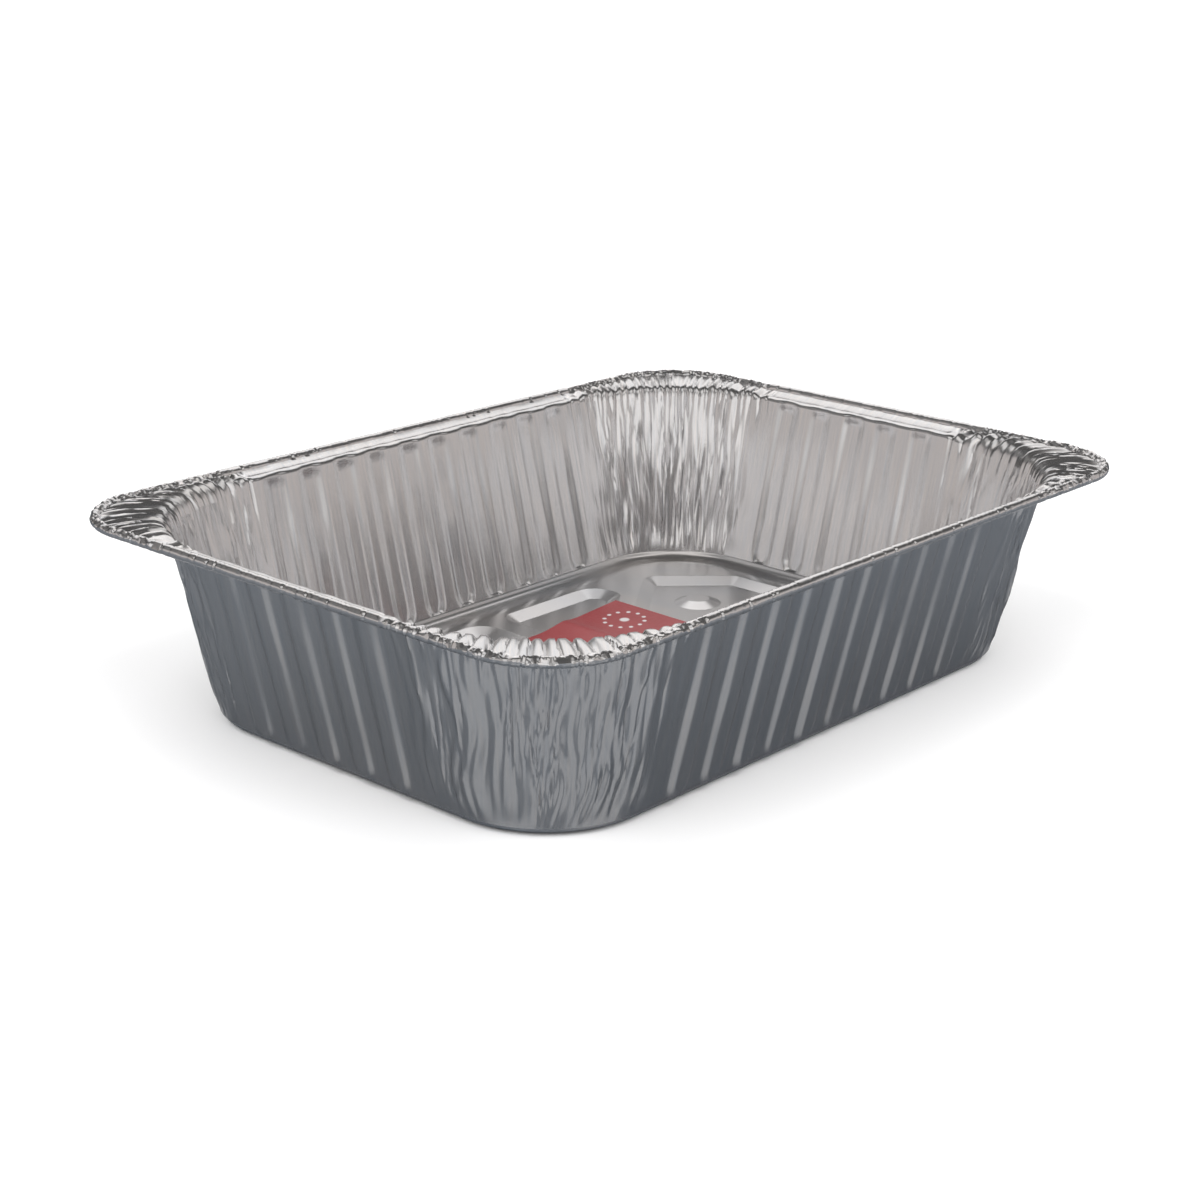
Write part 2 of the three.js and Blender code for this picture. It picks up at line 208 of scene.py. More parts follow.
def plankHeights(u):  # at every column, u of the way from the shoulder to the roll
    heights = np.zeros(columnCount)
    for corner, (edges, level, tops, peak) in enumerate(plankDraws):
        here = cornerNumber == corner
        share = cornerShare[here]
        share = share + planks["fan"] * u * np.sin(2 * math.pi * share) / (2 * math.pi)
        plank = np.clip(np.searchsorted(edges, share, side="right") - 1, 0, len(tops) - 1)
        across = (share - edges[plank]) / (edges[plank + 1] - edges[plank])
        ridge = np.minimum(across / peak[plank], (1 - across) / (1 - peak[plank]))
        ridge = np.minimum(ridge * planks["steepness"][corner], 1)
        heights[here] = level[plank] + tops[plank] * (ridge - planks["seats"][corner])
    return heights * cornerDepth(planks["endRun"])


def slotCreases(heights):  # rows by columns, outward: the slots between planks run on down the wall
    draw = np.random.default_rng(planks["seed"] + 1)
    swell = np.zeros((len(heights), columnCount))
    shortest, longest = planks["creaseRun"]
    for corner, (edges, *_) in enumerate(plankDraws):
        here = np.flatnonzero(cornerNumber == corner)
        for edge in edges[1:-1]:
            run = shortest + (longest - shortest) * draw.uniform() ** 2
            half = draw.uniform(*planks["creaseHalf"]) / panForm["cornerRun"]
            depth = draw.uniform(*planks["creaseDepth"])
            sway = draw.uniform(-planks["creaseSway"], planks["creaseSway"])
            below = np.clip((heights[-1] - heights) / run, 0, 1)[:, None]
            apart = np.abs(cornerShare[here][None, :] - edge - sway * below)
            swell[:, here] += depth * np.sqrt(1 - below) * np.clip(1 - apart / half, 0, 1)
    return swell


# folds and creases of the corner walls
folds = {
    "seed": 5,
    "pleats": (
        # share of the way round a corner, and how far the wall swells out there
        (0.0, -0.8), (0.05, -0.3), (0.12, 0.7), (0.20, -0.6), (0.27, 0.6),
        (0.34, -0.8), (0.41, 0.6), (0.48, -0.7), (0.55, 0.8), (0.62, -0.6),
        (0.69, 0.7), (0.77, -0.8), (0.84, 0.6), (0.91, -0.4), (1.0, -0.8),
    ),
    "pleatShare": 0.8,
    "pleatFade": 14.0,
    "knots": 44,
    "spacing": (0.6, 1.5),
    "crowding": 0.45,  # how much closer the folds sit in the corner's middle
    "height": (0.3, 1.0),
    "endShare": 0.12,  # share of a corner in which the folds grow from its ends
    "levels": (0.0, 0.10, 0.22, 0.36, 0.52, 0.70, 0.86, 1.0),
    "strength": (-0.5, 1.25),
    "warp": (0.007, 5),  # size of each bend in the folds' run, and how many
    "warpTurns": (2.5, 2.4),  # most turns of a bend round the corner and up the wall
    "creases": 70,
    "creaseDepth": (0.25, 0.7),
    "creaseSigns": (-1.0, 0.7),  # more grooves than ridges
    "creaseHalf": (0.75, 1.2),
    "creaseSpan": (0.10, 0.45),
    "creaseReach": (0.05, 1.06),  # how low and how high they lie, of the wall
    "creasePlaces": (0.44, 1.6),  # how far from the corner's middle they lie, and how crowded there
    "creaseLean": 0.022,
    "forked": 0.35,  # share of the creases that split in two
    "forkLean": -0.6,
}


def foldSwell(heights):  # rows by columns, outward
    draw = np.random.default_rng(folds["seed"])
    up = (heights - heights[0]) / (heights[-1] - heights[0])
    fade = smooth((heights - heights[0]) / folds["pleatFade"])[:, None]
    valley = -flutes["depth"] / 2
    shares, broad = np.array(folds["pleats"]).T
    levels, count = folds["levels"], folds["knots"]
    bend, bends = folds["warp"]
    turnsRound, turnsUp = folds["warpTurns"]
    swell = np.zeros((len(heights), columnCount))
    for corner in range(4):
        here = np.flatnonzero(cornerNumber == corner)
        share = cornerShare[here]
        gaps = draw.uniform(*folds["spacing"], count + 1)
        gaps *= 1 - folds["crowding"] * (1 - np.abs(np.linspace(-1, 1, count + 1)))
        knots = np.cumsum(gaps)[:-1] / gaps.sum()
        size = draw.uniform(*folds["height"], count) * np.where(np.arange(count) % 2, 1, -1)
        size *= smooth(np.minimum(knots, 1 - knots) / folds["endShare"])
        strength = np.clip(draw.uniform(*folds["strength"], (len(levels), count)), 0, None)
        strength[0] = 0
        folded = np.stack([np.interp(up, levels, strength[:, k]) * size[k] for k in range(count)], 1)
        warp = np.zeros((len(heights), len(here)))
        for _ in range(bends):
            turns = draw.uniform(-turnsRound, turnsRound) * share[None, :]
            turns = turns + draw.uniform(-turnsUp, turnsUp) * up[:, None]
            warp += bend * np.sin(2 * math.pi * (turns + draw.uniform()))
        for row in range(len(heights)):
            swell[row, here] = np.interp(share + warp[row], knots, folded[row], 0, 0)
        swell[:, here] += sharpCreases(draw, share, up)
        pleats = np.interp(share, shares, broad * folds["pleatShare"])
        swell[:, here] += valley + (pleats - valley)[None, :] * fade
    return swell


def sharpCreases(draw, share, up):  # short narrow grooves and ridges that run down a corner
    swell = np.zeros((len(up), len(share)))
    farthest, crowding = folds["creasePlaces"]
    lowest, highest = folds["creaseReach"]
    for _ in range(folds["creases"]):
        middle = 0.5 + farthest * math.copysign(draw.uniform() ** crowding, draw.uniform(-1, 1))
        span = draw.uniform(*folds["creaseSpan"])
        low = draw.uniform(lowest, highest - span)
        depth = draw.uniform(*folds["creaseDepth"]) * math.copysign(1, draw.uniform(*folds["creaseSigns"]))
        half = draw.uniform(*folds["creaseHalf"]) / panForm["cornerRun"]
        lean = draw.normal() * folds["creaseLean"]
        along = np.clip((up - low) / span, 0, 1)[:, None]
        taper = np.sqrt(4 * along * (1 - along))
        for side in (1, folds["forkLean"]) if draw.uniform() < folds["forked"] else (1,):
            apart = np.abs(share[None, :] - middle - lean * side * along)
            swell += depth * taper * np.clip(1 - apart / half, 0, 1)
    return swell


# how the pressed flutes depart from even ones
fluteWear = {
    "seed": 3,
    "levels": 5,  # heights at which strength and ease are drawn
    "strength": (0.7, 1.2),
    "drift": 0.8,  # how far a crown may have wandered at the wall's top
    "ease": (0.6, 2.0),  # how gently a slope leaves the wall
    "slope": (1.25, 0.5),  # its width with no ease, and what a unit of ease adds
    "easeAtFoot": 0.3,
    "section": (1.3, 0.35),  # straight and curved part of a slope
    "pinch": (0.6, 5.0),  # how narrow a crown starts at the foot, and how high it is full
    "footRise": 0.9,
    "top": (0.55, 4.0),  # share of the depth left at the shoulder, and how far below it that starts
}


def fluteSwell(heights):  # rows by columns, outward
    draw = np.random.default_rng(fluteWear["seed"])
    total = sum(flutes["counts"]) * 2
    levels = np.linspace(0, 1, fluteWear["levels"])
    strength = draw.uniform(*fluteWear["strength"], (total, len(levels)))
    drift = draw.uniform(-fluteWear["drift"], fluteWear["drift"], total)
    ease = draw.uniform(*fluteWear["ease"], (2, total, len(levels)))  # of a flute's two slopes
    number = np.maximum(fluteNumber, 0)
    rise = heights - ledgeLevel
    upWall = rise / rise[-1]

    def byColumn(table):  # a flute's values at each height, for every column
        return np.stack([np.interp(upWall, levels, line) for line in table], 1)[:, number]

    narrow, full = fluteWear["pinch"]
    pinch = narrow + (1 - narrow) * smooth(rise / full)
    left, fade = fluteWear["top"]
    ends = smooth(rise / fluteWear["footRise"]) * (left + (1 - left) * smooth((heights[-1] - heights) / fade))
    easing = np.where(fluteLocal < 0, byColumn(ease[0]), byColumn(ease[1]))
    easing = easing * (fluteWear["easeAtFoot"] + (1 - fluteWear["easeAtFoot"]) * upWall[:, None])
    plain, eased = fluteWear["slope"]
    slope = flutes["slope"] * (plain + eased * easing)
    middle = (flutes["crown"] + flutes["slope"]) / 2 * pinch[:, None]
    offset = np.abs(fluteLocal - drift[number] * upWall[:, None])
    ramp = np.clip((middle - offset) / slope, -0.5, 0.5)
    straight, curved = fluteWear["section"]
    wave = straight * ramp + curved * np.sin(math.pi * ramp)
    wave = (wave + 1) * byColumn(strength) * ends[:, None] - 1
    return np.where(inCorner, 0, wave * flutes["depth"] / 2)


# slow unevenness of the thin wall
slowWaves = {
    "seed": 21,
    "count": 14,
    "cycles": (6, 40),  # round the pan
    "climb": 0.05,
    "size": 0.12,
    "footRun": 12.0,  # how far above the ledge they are full
}


def waveSwell(heights):  # rows by columns, outward
    draw = np.random.default_rng(slowWaves["seed"])
    swell = np.zeros((len(heights), columnCount))
    for _ in range(slowWaves["count"]):
        cycles = draw.integers(*slowWaves["cycles"])
        climb = draw.uniform(-slowWaves["climb"], slowWaves["climb"])
        phase = draw.uniform(0, 2 * math.pi)
        turns = 2 * math.pi * cycles * mouthRun[None, :] / mouthRound
        swell += np.sin(turns + climb * heights[:, None] + phase)
    swell = swell * slowWaves["size"] / slowWaves["count"] ** 0.5
    return swell * smooth((heights - heights[0]) / slowWaves["footRun"])[:, None]


def pressSheet(name, points, closed=True):  # a foil blank pressed to rows by columns of points
    rows, columns = points.shape[:2]
    bpy.ops.object.select_all(action="DESELECT")
    cells = columns if closed else columns - 1
    bpy.ops.mesh.primitive_grid_add(x_subdivisions=cells, y_subdivisions=rows - 1, size=1)
    sheet = bpy.context.object
    sheet.name = sheet.data.name = name
    flat = np.zeros(len(sheet.data.vertices) * 3)
    sheet.data.vertices.foreach_get("co", flat)
    flat = flat.reshape(-1, 3)
    column = np.rint((flat[:, 0] + 0.5) * cells).astype(int) % columns
    row = np.rint((flat[:, 1] + 0.5) * (rows - 1)).astype(int)
    sheet.data.vertices.foreach_set("co", (points[row, column] * mm).ravel())
    sheet.data.update()
    if closed:
        bpy.ops.object.mode_set(mode="EDIT")
        bpy.ops.mesh.select_all(action="SELECT")
        bpy.ops.mesh.remove_doubles(threshold=panForm["seamGap"] * mm)  # joins the blank's two ends
        bpy.ops.object.mode_set(mode="OBJECT")
    return sheet


def giveGauge(sheet, gauge, creaseAngle):
    bpy.ops.object.select_all(action="DESELECT")
    sheet.select_set(True)
    bpy.context.view_layer.objects.active = sheet
    skin = sheet.modifiers.new("gauge", "SOLIDIFY")
    skin.thickness = gauge * mm
    skin.offset = 0
    bpy.ops.object.modifier_apply(modifier=skin.name)
    bpy.ops.object.shade_smooth_by_angle(angle=math.radians(creaseAngle))
    print(sheet.name, "has", sum(len(face.vertices) - 2 for face in sheet.data.polygons), "triangles")


def hangOn(piece, node, material):
    piece.data.materials.clear()
    piece.data.materials.append(material)
    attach(piece, "root")
    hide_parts(node)


# wall, from the ledge over the floor up to the shoulder
wallForm = {
    "lowRows": (0.0, 0.010, 0.024, 0.044),  # shares of the way up
    "evenRows": (0.075, 0.93, 23),  # first, last and how many
    "topRows": (0.955, 0.975, 0.99, 1.0),
    "plankRun": 14.0,  # how far below the shoulder the planks bend the wall
    "plankShare": 0.2,
}
wallSpan = flangeLevel - floorLevel
wallLine = np.hypot(np.linalg.norm(mouthPlan - footPlan, axis=1), wallSpan)
cornerReach = np.array(panForm["cornerShoulders"])[cornerNumber]
shoulderReach = panForm["shoulder"] + (cornerReach - panForm["shoulder"]) * cornerDepth(panForm["gatherRun"])
topShare = 1 - shoulderReach / wallLine
lowShare = panForm["ledgeRise"] / wallSpan


def wallPoints():
    evenRows = np.linspace(*wallForm["evenRows"])
    rise = np.concatenate([wallForm["lowRows"], evenRows, wallForm["topRows"]])
    share = lowShare + (topShare[None, :] - lowShare) * rise[:, None]
    plan = footPlan[None] + (mouthPlan - footPlan)[None] * share[..., None]
    out = unit(footOut[None] * (1 - share[..., None]) + mouthOut[None] * share[..., None])
    heights = floorLevel + wallSpan * (lowShare + (topShare.mean() - lowShare) * rise)
    nearTop = smooth((heights - heights[-1] + wallForm["plankRun"]) / wallForm["plankRun"])[:, None]
    swell = fluteSwell(heights) + foldSwell(heights)
    swell += slotCreases(heights) - wallForm["plankShare"] * plankHeights(0)[None, :] * nearTop
    swell += waveSwell(heights)
    level = floorLevel + wallSpan * share
    return np.concatenate([plan + out * swell[..., None], level[..., None]], 2)


wallGrid = wallPoints()
panWall = pressSheet("panWall", wallGrid)
giveGauge(panWall, panForm["gauge"], panForm["creaseAngle"])


# rim, from the shoulder over the flange and round the roll
flange = {
    "seed": 9,
    "shoulderSteps": (0.25, 0.5, 0.75, 1.0),
    "shoulderMost": 0.5,  # of the flange's width
    "rows": 7,
    "cornerRise": 2.0,
    "arch": (-0.6, 0.8),  # how far it bows up along the sides and in the corners
    "lobes": (-0.1, 0.2),  # heights of the small waves beside the flutes
    "plankLoss": 0.5,  # how much lower the planks are at the roll
}
roll = {
    "seed": 8,
    "points": 19,
    "turn": (180.0, -135.0),  # degrees above level where the roll leaves the flange and where it ends
    "startPoints": 2,  # over these the roll keeps to the flange
    "facet": (42.0, 14.0),  # degrees above level of the outer flat between two crimps, and its spread
    "cornerFacet": (46.0, 32.0),
    "innerFacet": (142.0, 26.0),
    "pressed": (0.04, 0.25),  # how deep the flats are
    "cornerPressed": (0.3, 0.8),
    "flatEnd": 0.2,  # cosine past which a flat ends
    "cornerRun": 20.0,  # how far into a corner the crimps are a corner's
    "cornerGap": (1.5, 3.6),
    "sideGap": (2.0, 10.0),
    "gapCrowding": 1.7,  # above 1, small gaps are more common
    "clustered": 0.3,  # share of the crimps on a side that stand as close as in a corner
    "depth": (0.3, 0.8),
    "sideDepth": 0.7,  # share of that depth on the sides
    "half": (0.4, 0.9),
    "skew": 0.35,
    "carried": (0.35, 6),  # share of the planks' height that runs on over the roll, and over how many points
}


def crimpRoll():  # columns by roll section points: crimps, then where each flat faces and how deep it is
    draw = np.random.default_rng(roll["seed"])
    steps = np.linspace(-1, 1, roll["points"])
    depths = np.zeros((columnCount, len(steps)))
    facing, pressed = np.zeros((2, columnCount)), np.zeros((2, columnCount))
    deepCorner = cornerDepth(roll["cornerRun"])
    place = 0.0
    while place < rimRound:
        column = min(np.searchsorted(rimRun, place), columnCount - 1)
        folded = deepCorner[column]
        depth = draw.uniform(*roll["depth"]) * (roll["sideDepth"] + (1 - roll["sideDepth"]) * folded)
        half = draw.uniform(*roll["half"])
        skew = draw.uniform(-1, 1) * roll["skew"]
        apart = np.abs(rimRun[:, None] - place - skew * steps[None, :])
        depths = np.maximum(depths, depth * np.clip(1 - apart / half, 0, 1))
        close = draw.uniform() < max(folded, roll["clustered"])
        small, large = roll["cornerGap" if close else "sideGap"]
        gap = small + (large - small) * draw.uniform() ** roll["gapCrowding"]
        stretch = (rimRun >= place) & (rimRun < place + gap)
        outerFacet, press = ("cornerFacet", "cornerPressed") if folded > 0.5 else ("facet", "pressed")
        for flat, facet in enumerate((outerFacet, "innerFacet")):
            level, spread = roll[facet]
            facing[flat, stretch] = level + draw.uniform(-1, 1) * spread
            pressed[flat, stretch] = draw.uniform(*roll[press])
        place += gap
    return depths, np.radians(facing), pressed


def rollPoints():  # roll section points by columns
    outward = atLevel(rimOut, 0)
    middle = atLevel(rimPlan - rimOut * rollRadius, rollLevel)
    crimps, facing, pressed = crimpRoll()
    angles = np.radians(np.linspace(*roll["turn"], roll["points"]))[None, :]
    wrapped = smooth(np.arange(roll["points"]) / roll["startPoints"])[None, :]
    full = rollRadius - panForm["gauge"] / 2
    flats = (full - pressed[..., None]) / np.maximum(np.cos(angles - facing[..., None]), roll["flatEnd"])
    radius = full - (full - np.minimum(full, flats.min(0)) + crimps) * wrapped
    ring = np.stack([radius * np.cos(angles), radius * np.sin(angles)], 2)
    rolled = middle[:, None] + outward[:, None] * ring[..., :1] + upward * ring[..., 1:]
    return rolled.transpose(1, 0, 2)


def lobeHeights():  # small waves of the flange, two for each flute
    draw = np.random.default_rng(flange["seed"])
    phase = (fluteLocal / flutes["pitch"] * 2) % 1
    number = np.maximum(fluteNumber, 0) * 2 + (fluteLocal > 0)
    height = draw.uniform(*flange["lobes"], sum(flutes["counts"]) * 4)[number]
    return np.where(inCorner, 0, height * (1 - (2 * phase - 1) ** 2))


def rimPoints():
    corner = atLevel(mouthPlan, flangeLevel)
    first = wallGrid[-1]
    plainFirst = corner + (atLevel(footPlan, floorLevel) - corner) * (1 - topShare)[:, None]
    swell = first - plainFirst
    rolled = rollPoints()
    across = rolled[0] - corner
    width = np.linalg.norm(across, axis=1)
    bend = np.minimum(shoulderReach, flange["shoulderMost"] * width)
    flat = corner + across * (bend / width)[:, None]
    lobes = lobeHeights()

    def lift(u):  # planks and lobes, u of the way from the shoulder to the roll
        return upward * (plankHeights(u) + lobes)[:, None]

    gathered = cornerDepth(panForm["gatherRun"])[:, None]
    raised = upward * flange["cornerRise"] * gathered
    sideArch, cornerArch = flange["arch"]
    arch = upward * (sideArch + (cornerArch - sideArch) * gathered)
    share, points = roll["carried"]
    carried = share * smooth(1 - np.arange(roll["points"]) / points)
    rolled = rolled + lift(1)[None] * carried[:, None, None]
    rows = [first]
    for u in flange["shoulderSteps"]:
        curve = (1 - u) ** 2 * first + 2 * u * (1 - u) * (corner + swell) + u * u * flat
        rows.append(curve + (lift(0) + raised) * smooth(u))
    for step in range(1, flange["rows"]):
        u = step / flange["rows"]
        plain = flat + (rolled[0] - flat) * u
        planked = plain + lift(u) * (1 - flange["plankLoss"] * u)
        rows.append(planked + raised * (1 - u) + arch * math.sin(math.pi * u))
    return np.concatenate([np.stack(rows), rolled])


panRim = pressSheet("panRim", rimPoints())
giveGauge(panRim, panForm["gauge"], panForm["creaseAngle"])


# floor: channel at the wall's foot, raised level, sunken pads and round bosses
floorForm = {
    "section": (
        # inset from the wall's foot and drop below it: ledge, channel, then the rise to the level floor
        (0.0, 0.0), (0.7, 0.05), (0.95, 0.4), (1.07, 1.13), (1.58, 1.9),
        (2.39, 2.56), (3.45, 3.07), (4.68, 3.39), (6.0, 3.5), (8.9, 3.22),
        (11.8, 2.55), (14.6, 1.75), (17.5, 1.08), (20.4, 0.8), (21.2, 0.8),
    ),
    "support": 0.8,  # extra ring beside a bend, which keeps the level faces flat
    "padSupport": 0.7,
    "levelSlack": 0.001,  # how far off its level a ring may lie
    "margin": 23.9,
    "tipMargin": 32.9,
    "chamfer": 36.0,
    "hubHalf": (40.0, 34.0),
    "ridge": 8.0,
    "sideGap": 32.0,
    "sideRadius": 13.0,
    "crossRidge": (1.0, 13.0),
    "padSlope": 8.0,
    "padFloorRadius": 1.5,
    "padEase": 0.1,
    "padCornerSteps": 8,
    "bossPlaces": (112.0, 44.0),
    "bossRadii": (13.0, 5.5),
    "bossHeight": 2.6,
    "bossEase": 0.16,
    "bossSides": 48,
}


def footPoints():
    edge = wallGrid[0]
    out = atLevel(unit(footOut * (1 - lowShare) + mouthOut * lowShare), 0)
    return np.stack([edge - out * inset - upward * drop for inset, drop in floorForm["section"]])


def padRing(corners, inset):  # a convex outline set in and rounded at its corners
    ring = []
    count, steps = len(corners), floorForm["padCornerSteps"]
    for i, (x, y, wide) in enumerate(corners):
        at = Vector((x, y))
        into = (at - Vector(corners[i - 1][:2])).normalized()
        onward = (Vector(corners[(i + 1) % count][:2]) - at).normalized()
        bend = into.angle(onward)
        inward = Vector((-into.y - onward.y, into.x + onward.x)).normalized()
        radius = max(wide, floorForm["padFloorRadius"] + floorForm["padSlope"]) - inset
        centre = at + inward * (inset + radius) / math.cos(bend / 2)
        first = math.atan2(into.y, into.x) - math.pi / 2
        for step in range(steps + 1):
            turn = first + bend * step / steps
            ring.append((centre.x + radius * math.cos(turn), centre.y + radius * math.sin(turn)))
    return np.array(ring)


def eased(x, ease):  # a straight ramp from 0 to 1 with rounded ends
    slope = 1 / (1 - ease)
    if x < ease:
        return slope * x * x / (2 * ease)
    if x > 1 - ease:
        return 1 - slope * (1 - x) ** 2 / (2 * ease)
    return slope * (x - ease / 2)


def rampSteps(ease):
    return [0, ease / 3, ease * 2 / 3, ease, 1 - ease, 1 - ease * 2 / 3, 1 - ease / 3, 1]


def padPoints(corners):
    slope, ease = floorForm["padSlope"], floorForm["padEase"]
    levels = [(-floorForm["support"], 0)]
    levels += [(slope * x, eased(x, ease)) for x in rampSteps(ease)]
    levels.append((slope + floorForm["padSupport"], 1))
    rings = []
    for inset, down in levels:
        ring = padRing(corners, inset)
        rings.append(np.column_stack([ring, np.full(len(ring), floorLevel - panForm["padDepth"] * down)]))
    return np.stack(rings)


def bossPoints(x, y):
    wide, narrow = floorForm["bossRadii"]
    support, ease = floorForm["support"], floorForm["bossEase"]
    turns = np.linspace(0, 2 * math.pi, floorForm["bossSides"], endpoint=False)
    levels = [(wide + support, 0)]
    levels += [(wide + (narrow - wide) * s, eased(s, ease)) for s in rampSteps(ease)]
    levels.append((narrow - support, 1))
    return np.stack([
        np.column_stack([
            x + radius * np.cos(turns),
            y + radius * np.sin(turns),
            np.full(len(turns), padLevel + floorForm["bossHeight"] * up),
        ])
        for radius, up in levels
    ])


def padCorners():  # upper outlines of one half's pads, anticlockwise: x, y and radius
    outerX = panForm["footHalf"][0] - floorForm["margin"]
    outerY = panForm["footHalf"][1] - floorForm["margin"]
    tipY = panForm["footHalf"][1] - floorForm["tipMargin"]
    tipX = outerX - floorForm["chamfer"]
    waistY = tipY - floorForm["chamfer"]
    hubX, hubY = floorForm["hubHalf"]
    slope = (tipY - hubY) / (tipX - hubX)
    rise = floorForm["ridge"] * math.hypot(1, slope)
    endX = tipX - floorForm["sideGap"]
    endY = hubY + slope * (endX - hubX) + rise
    innerX = hubX - rise / slope
    leftX, rightX = floorForm["crossRidge"]
    wide = floorForm["sideRadius"]
    endPad = [
        (hubX, -hubY, 0), (tipX, -tipY, 0), (outerX, -waistY, 0),
        (outerX, waistY, 0), (tipX, tipY, 0), (hubX, hubY, 0),
    ]
    rightPad = [
        (rightX, hubY, 0), (innerX, hubY, 0), (endX, endY, 0),
        (endX, outerY, wide), (rightX, outerY, 0),
    ]
    leftPad = [
        (leftX, outerY, wide), (-endX, outerY, 0), (-endX, endY, 0),
        (-innerX, hubY, 0), (leftX, hubY, 0),
    ]
    return endPad, rightPad, leftPad


def fillLevel(sheet, level):  # closes the level between the rings that lie on it
    mesh = sheet.data
    bpy.ops.object.mode_set(mode="EDIT")
    bpy.ops.mesh.select_mode(type="EDGE")
    bpy.ops.mesh.select_all(action="DESELECT")
    bpy.ops.mesh.select_non_manifold(
        extend=False, use_wire=True, use_boundary=True,
        use_multi_face=False, use_non_contiguous=False, use_verts=False,
    )
    bpy.ops.object.mode_set(mode="OBJECT")
    for edge in mesh.edges:
        ends = [mesh.vertices[v].co.z / mm for v in edge.vertices]
        edge.select = edge.select and all(abs(z - level) < floorForm["levelSlack"] for z in ends)
    for vertex in mesh.vertices:
        vertex.select = False
    for edge in mesh.edges:
        if edge.select:
            for v in edge.vertices:
                mesh.vertices[v].select = True
    for face in mesh.polygons:
        face.select = False
    bpy.ops.object.mode_set(mode="EDIT")
    bpy.ops.mesh.fill(use_beauty=True)
    bpy.ops.object.mode_set(mode="OBJECT")


def pressFloor():
    sheets = [pressSheet("panFloor", footPoints())]
    for corners in padCorners():
        for turn in (1, -1):
            turned = [(x * turn, y * turn, wide) for x, y, wide in corners]
            sheets.append(pressSheet("pad", padPoints(turned)))
    bossX, bossY = floorForm["bossPlaces"]
    for x, y in ((bossX, bossY), (bossX, -bossY), (-bossX, bossY), (-bossX, -bossY)):
        sheets.append(pressSheet("boss", bossPoints(x, y)))
    bpy.ops.object.select_all(action="DESELECT")
    for sheet in sheets:
        sheet.select_set(True)
    bpy.context.view_layer.objects.active = sheets[0]
    bpy.ops.object.join()
    for level in (floorLevel, padLevel, padLevel + floorForm["bossHeight"]):
        fillLevel(sheets[0], level)
    bpy.ops.object.mode_set(mode="EDIT")
    bpy.ops.mesh.select_all(action="SELECT")
    bpy.ops.mesh.normals_make_consistent(inside=False)
    bpy.ops.object.mode_set(mode="OBJECT")
    return sheets[0]


panFloor = pressFloor()
giveGauge(panFloor, panForm["gauge"], panForm["creaseAngle"])


# label lying over the floor's middle, its right end lifted past a fold
labelForm = {
    "gauge": 0.2,
    "creaseAngle": 30.0,
    "columns": 90,
    "rows": 60,
    "liftPlaces": (-66.5, 5.0, 9.0, 13.0, 17.0, 21.0, 25.0, 27.5, 31.0, 36.3, 46.7, 66.5),
    "lifts": (0.0, 0.0, 0.1, 0.5, 1.1, 1.8, 2.5, 2.5, 2.0, 1.9, 2.6, 4.0),
    "nearShare": 0.7,  # share of the lift at the near edge
}


def labelPoints():
    x = np.linspace(labelLow[0], labelHigh[0], labelForm["columns"] + 1)
    y = np.linspace(labelLow[1], labelHigh[1], labelForm["rows"] + 1)
    lift = np.interp(x, labelForm["liftPlaces"], labelForm["lifts"])
    farness = (y - y[0]) / (y[-1] - y[0])
    share = labelForm["nearShare"] + (1 - labelForm["nearShare"]) * farness
    level = labelLow[2] + labelForm["gauge"] / 2 + lift[None, :] * share[:, None]
    gridX, gridY = np.meshgrid(x, y)
    return np.stack([gridX, gridY, level], 2)


paperLabel = pressSheet("paperLabel", labelPoints(), closed=False)
giveGauge(paperLabel, labelForm["gauge"], labelForm["creaseAngle"])


class Wire:  # a shader socket that takes part in sums
    def __init__(self, tree, socket=None):
        self.tree = tree
        self.socket = socket

    def node(self, kind, settings=None, values=None, out=0):
        made = self.tree.nodes.new(kind)
        for name, value in (settings or {}).items():
            if name == "stops":
                while len(made.color_ramp.elements) < len(value):
                    made.color_ramp.elements.new(1)
                for element, (place, colour) in zip(made.color_ramp.elements, value):
                    element.position = place
                    element.color = (*colour, 1)
            else:
                setattr(made, name, value)
        for name, value in (values or {}).items():
            if isinstance(value, Wire):
                self.tree.links.new(value.socket, made.inputs[name])
            else:
                made.inputs[name].default_value = value
        return Wire(self.tree, made.outputs[out]) if made.outputs else made

    def maths(self, operation, left, right=0.0):
        return self.node("ShaderNodeMath", {"operation": operation}, {0: left, 1: right})

    def __add__(self, other):
        return self.maths("ADD", self, other)

    def __radd__(self, other):
        return self.maths("ADD", other, self)

    def __sub__(self, other):
        return self.maths("SUBTRACT", self, other)

    def __rsub__(self, other):
        return self.maths("SUBTRACT", other, self)

    def __mul__(self, other):
        return self.maths("MULTIPLY", self, other)

    def __rmul__(self, other):
        return self.maths("MULTIPLY", other, self)


def newMaterial(name):
    material = bpy.data.materials.new(name)
    material.use_nodes = True
    material.node_tree.nodes.clear()
    return material, Wire(material.node_tree)


def noise(wire, place, pattern):
    scale, detail, roughness = pattern
    return wire.node("ShaderNodeTexNoise", None, {
        "Vector": place, "Scale": scale, "Detail": detail, "Roughness": roughness,
    })


